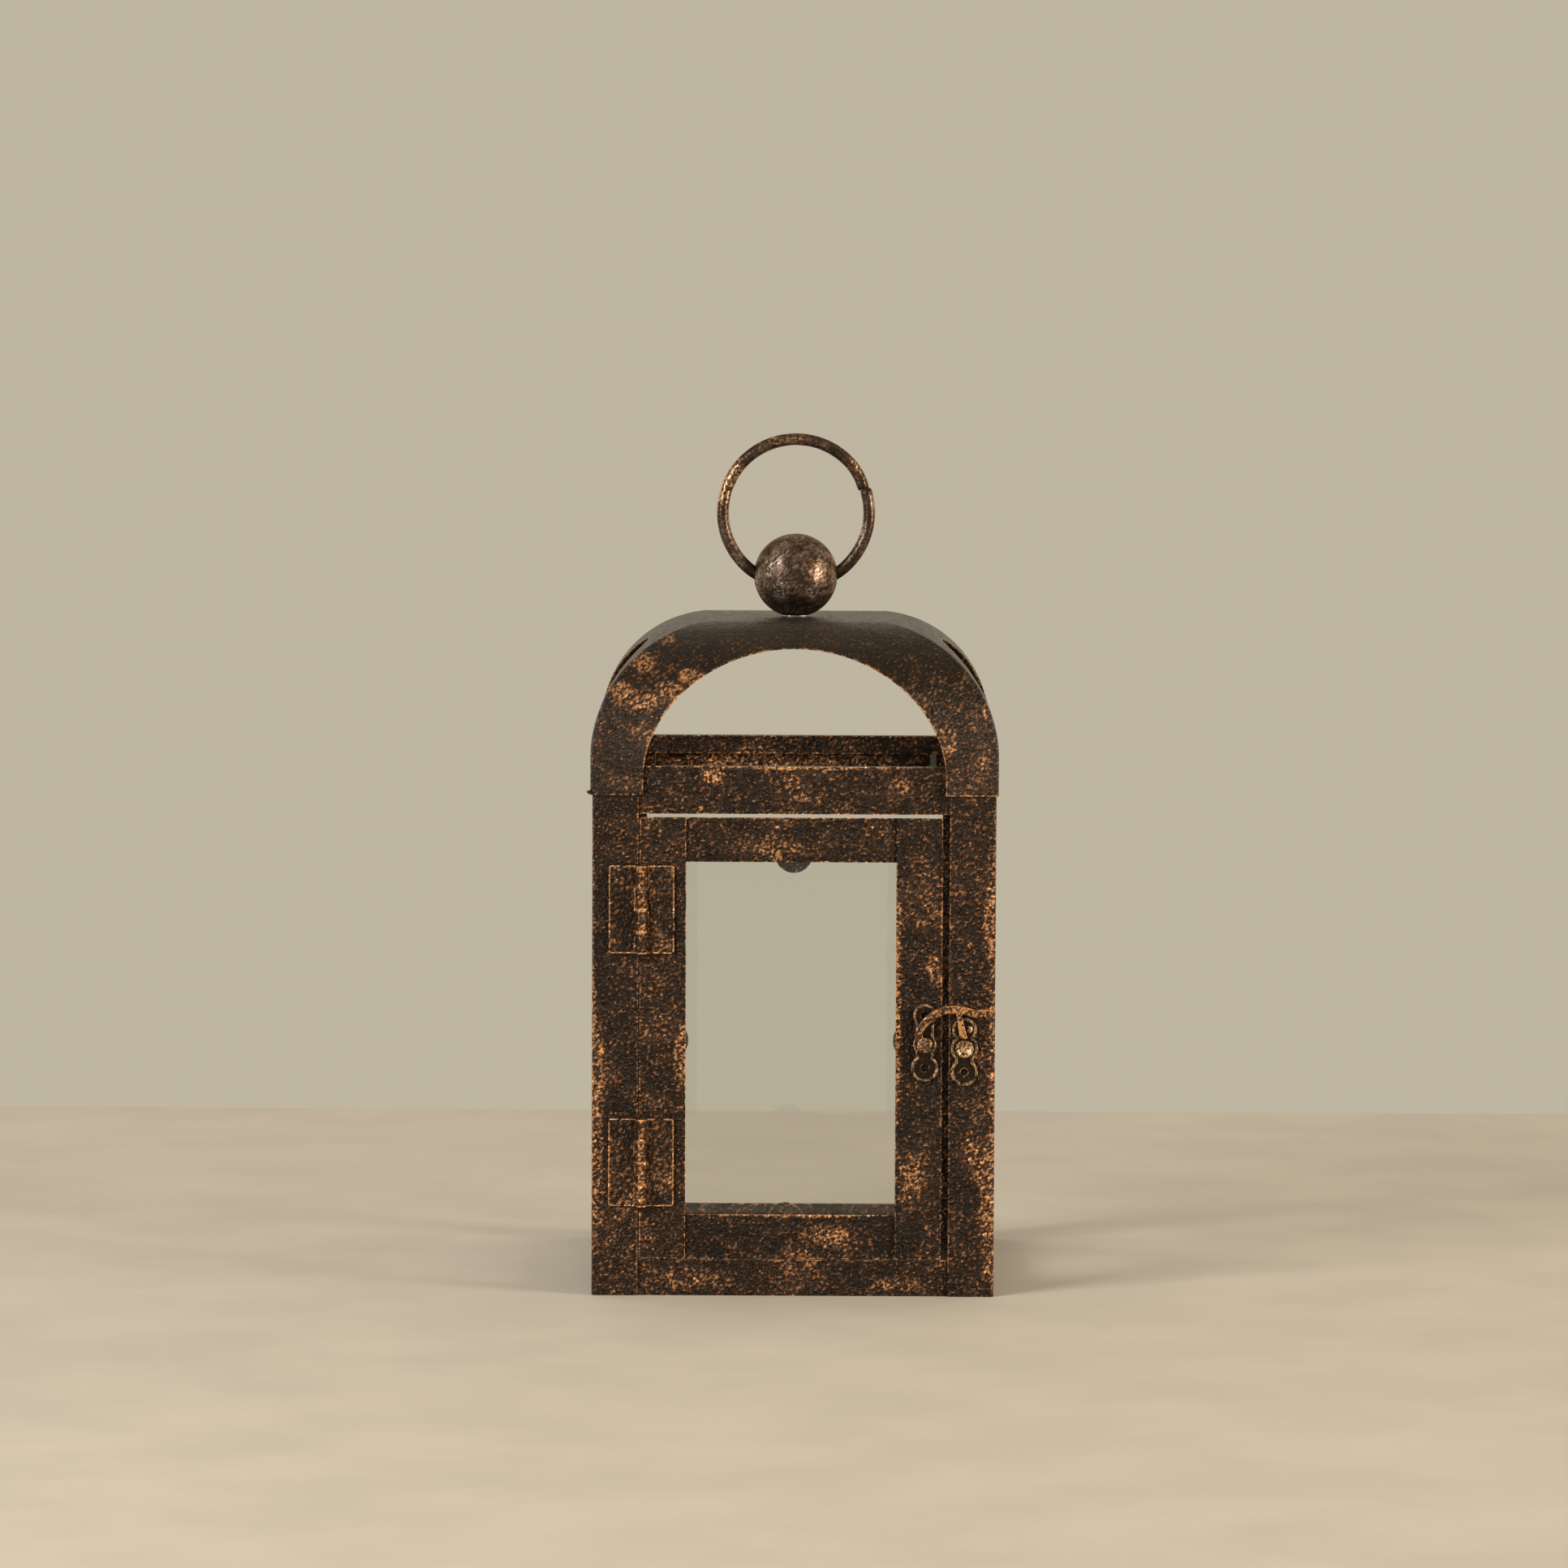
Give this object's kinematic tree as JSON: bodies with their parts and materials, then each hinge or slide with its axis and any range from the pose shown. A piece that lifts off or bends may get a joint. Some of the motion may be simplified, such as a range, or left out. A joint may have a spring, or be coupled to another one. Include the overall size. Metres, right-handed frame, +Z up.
{
  "type": "arched metal lantern",
  "caption": "Square sheet-metal candle lantern with clear panes, an arched domed roof, a ball finial with a carrying ring, and a hinged glazed door with a swing hook.",
  "frame": {"origin": "middle of the base, on the surface that the lantern stands on", "axes": "+Z up towards the carrying ring; the door faces -Y, with its hinges at -X"},
  "size_m": [0.15, 0.154, 0.3155],
  "materials": {
    "hammered_bronze": "near-black brown hammered paint rubbed with copper on the high spots",
    "smooth_bronze": "smoother bronze paint, satin, lightly rubbed with copper",
    "cast_bronze": "cast metal painted dark bronze with copper-rubbed rims",
    "rubbed_copper": "bare copper tone, satin, worn",
    "clear_glass": "clear, polished",
    "screw_steel": "dull zinc plate"
  },
  "bodies": {
    "lantern": {"base_plate": "hammered_bronze", "post_front_left": "hammered_bronze", "post_front_right": "hammered_bronze", "post_rear_right": "hammered_bronze", "post_rear_left": "hammered_bronze", "base_rail_front": "hammered_bronze", "base_rail_right": "hammered_bronze", "base_rail_rear": "hammered_bronze", "base_rail_left": "hammered_bronze", "head_rail_front": "hammered_bronze", "head_rail_right": "hammered_bronze", "head_rail_rear": "hammered_bronze", "head_rail_left": "hammered_bronze", "pane_right": "clear_glass", "pane_rear": "clear_glass", "pane_left": "clear_glass", "pane_clips": "hammered_bronze", "roof_shell": "hammered_bronze", "finial_ball": "smooth_bronze", "finial_screw": "screw_steel", "finial_washer": "screw_steel", "hinge_lower_post_leaf": "hammered_bronze", "hinge_upper_post_leaf": "hammered_bronze", "hinge_lower_pin": "hammered_bronze", "hinge_upper_pin": "hammered_bronze", "latch_post_plate": "cast_bronze", "latch_stud": "rubbed_copper"},
    "door": {"door_stile_left": "hammered_bronze", "door_stile_right": "hammered_bronze", "door_rail_top": "hammered_bronze", "door_rail_bottom": "hammered_bronze", "door_pane": "clear_glass", "door_pane_tabs": "hammered_bronze", "hinge_lower_door_leaf": "hammered_bronze", "hinge_upper_door_leaf": "hammered_bronze", "latch_door_plate": "cast_bronze", "latch_pivot_rivet": "rubbed_copper"},
    "hook": {"latch_hook": "cast_bronze"},
    "ring": {"carry_ring": "smooth_bronze"}
  },
  "joints": [
    {"name": "door_swing", "type": "hinge", "parent": "lantern", "child": "door", "pos_m": [-0.056, -0.0765, 0.09645], "axis": [0, 0, -1], "range_deg": [0, 180]},
    {"name": "latch_hook_turn", "type": "hinge", "parent": "door", "child": "hook", "pos_m": [0.0483, -0.07665, 0.0938], "axis": [0, -1, 0], "range_deg": [0, 120]},
    {"name": "ring_swing", "type": "hinge", "parent": "lantern", "child": "ring", "pos_m": [0, 0, 0.26258], "axis": [1, 0, 0], "range_deg": [-108, 108]}
  ]
}
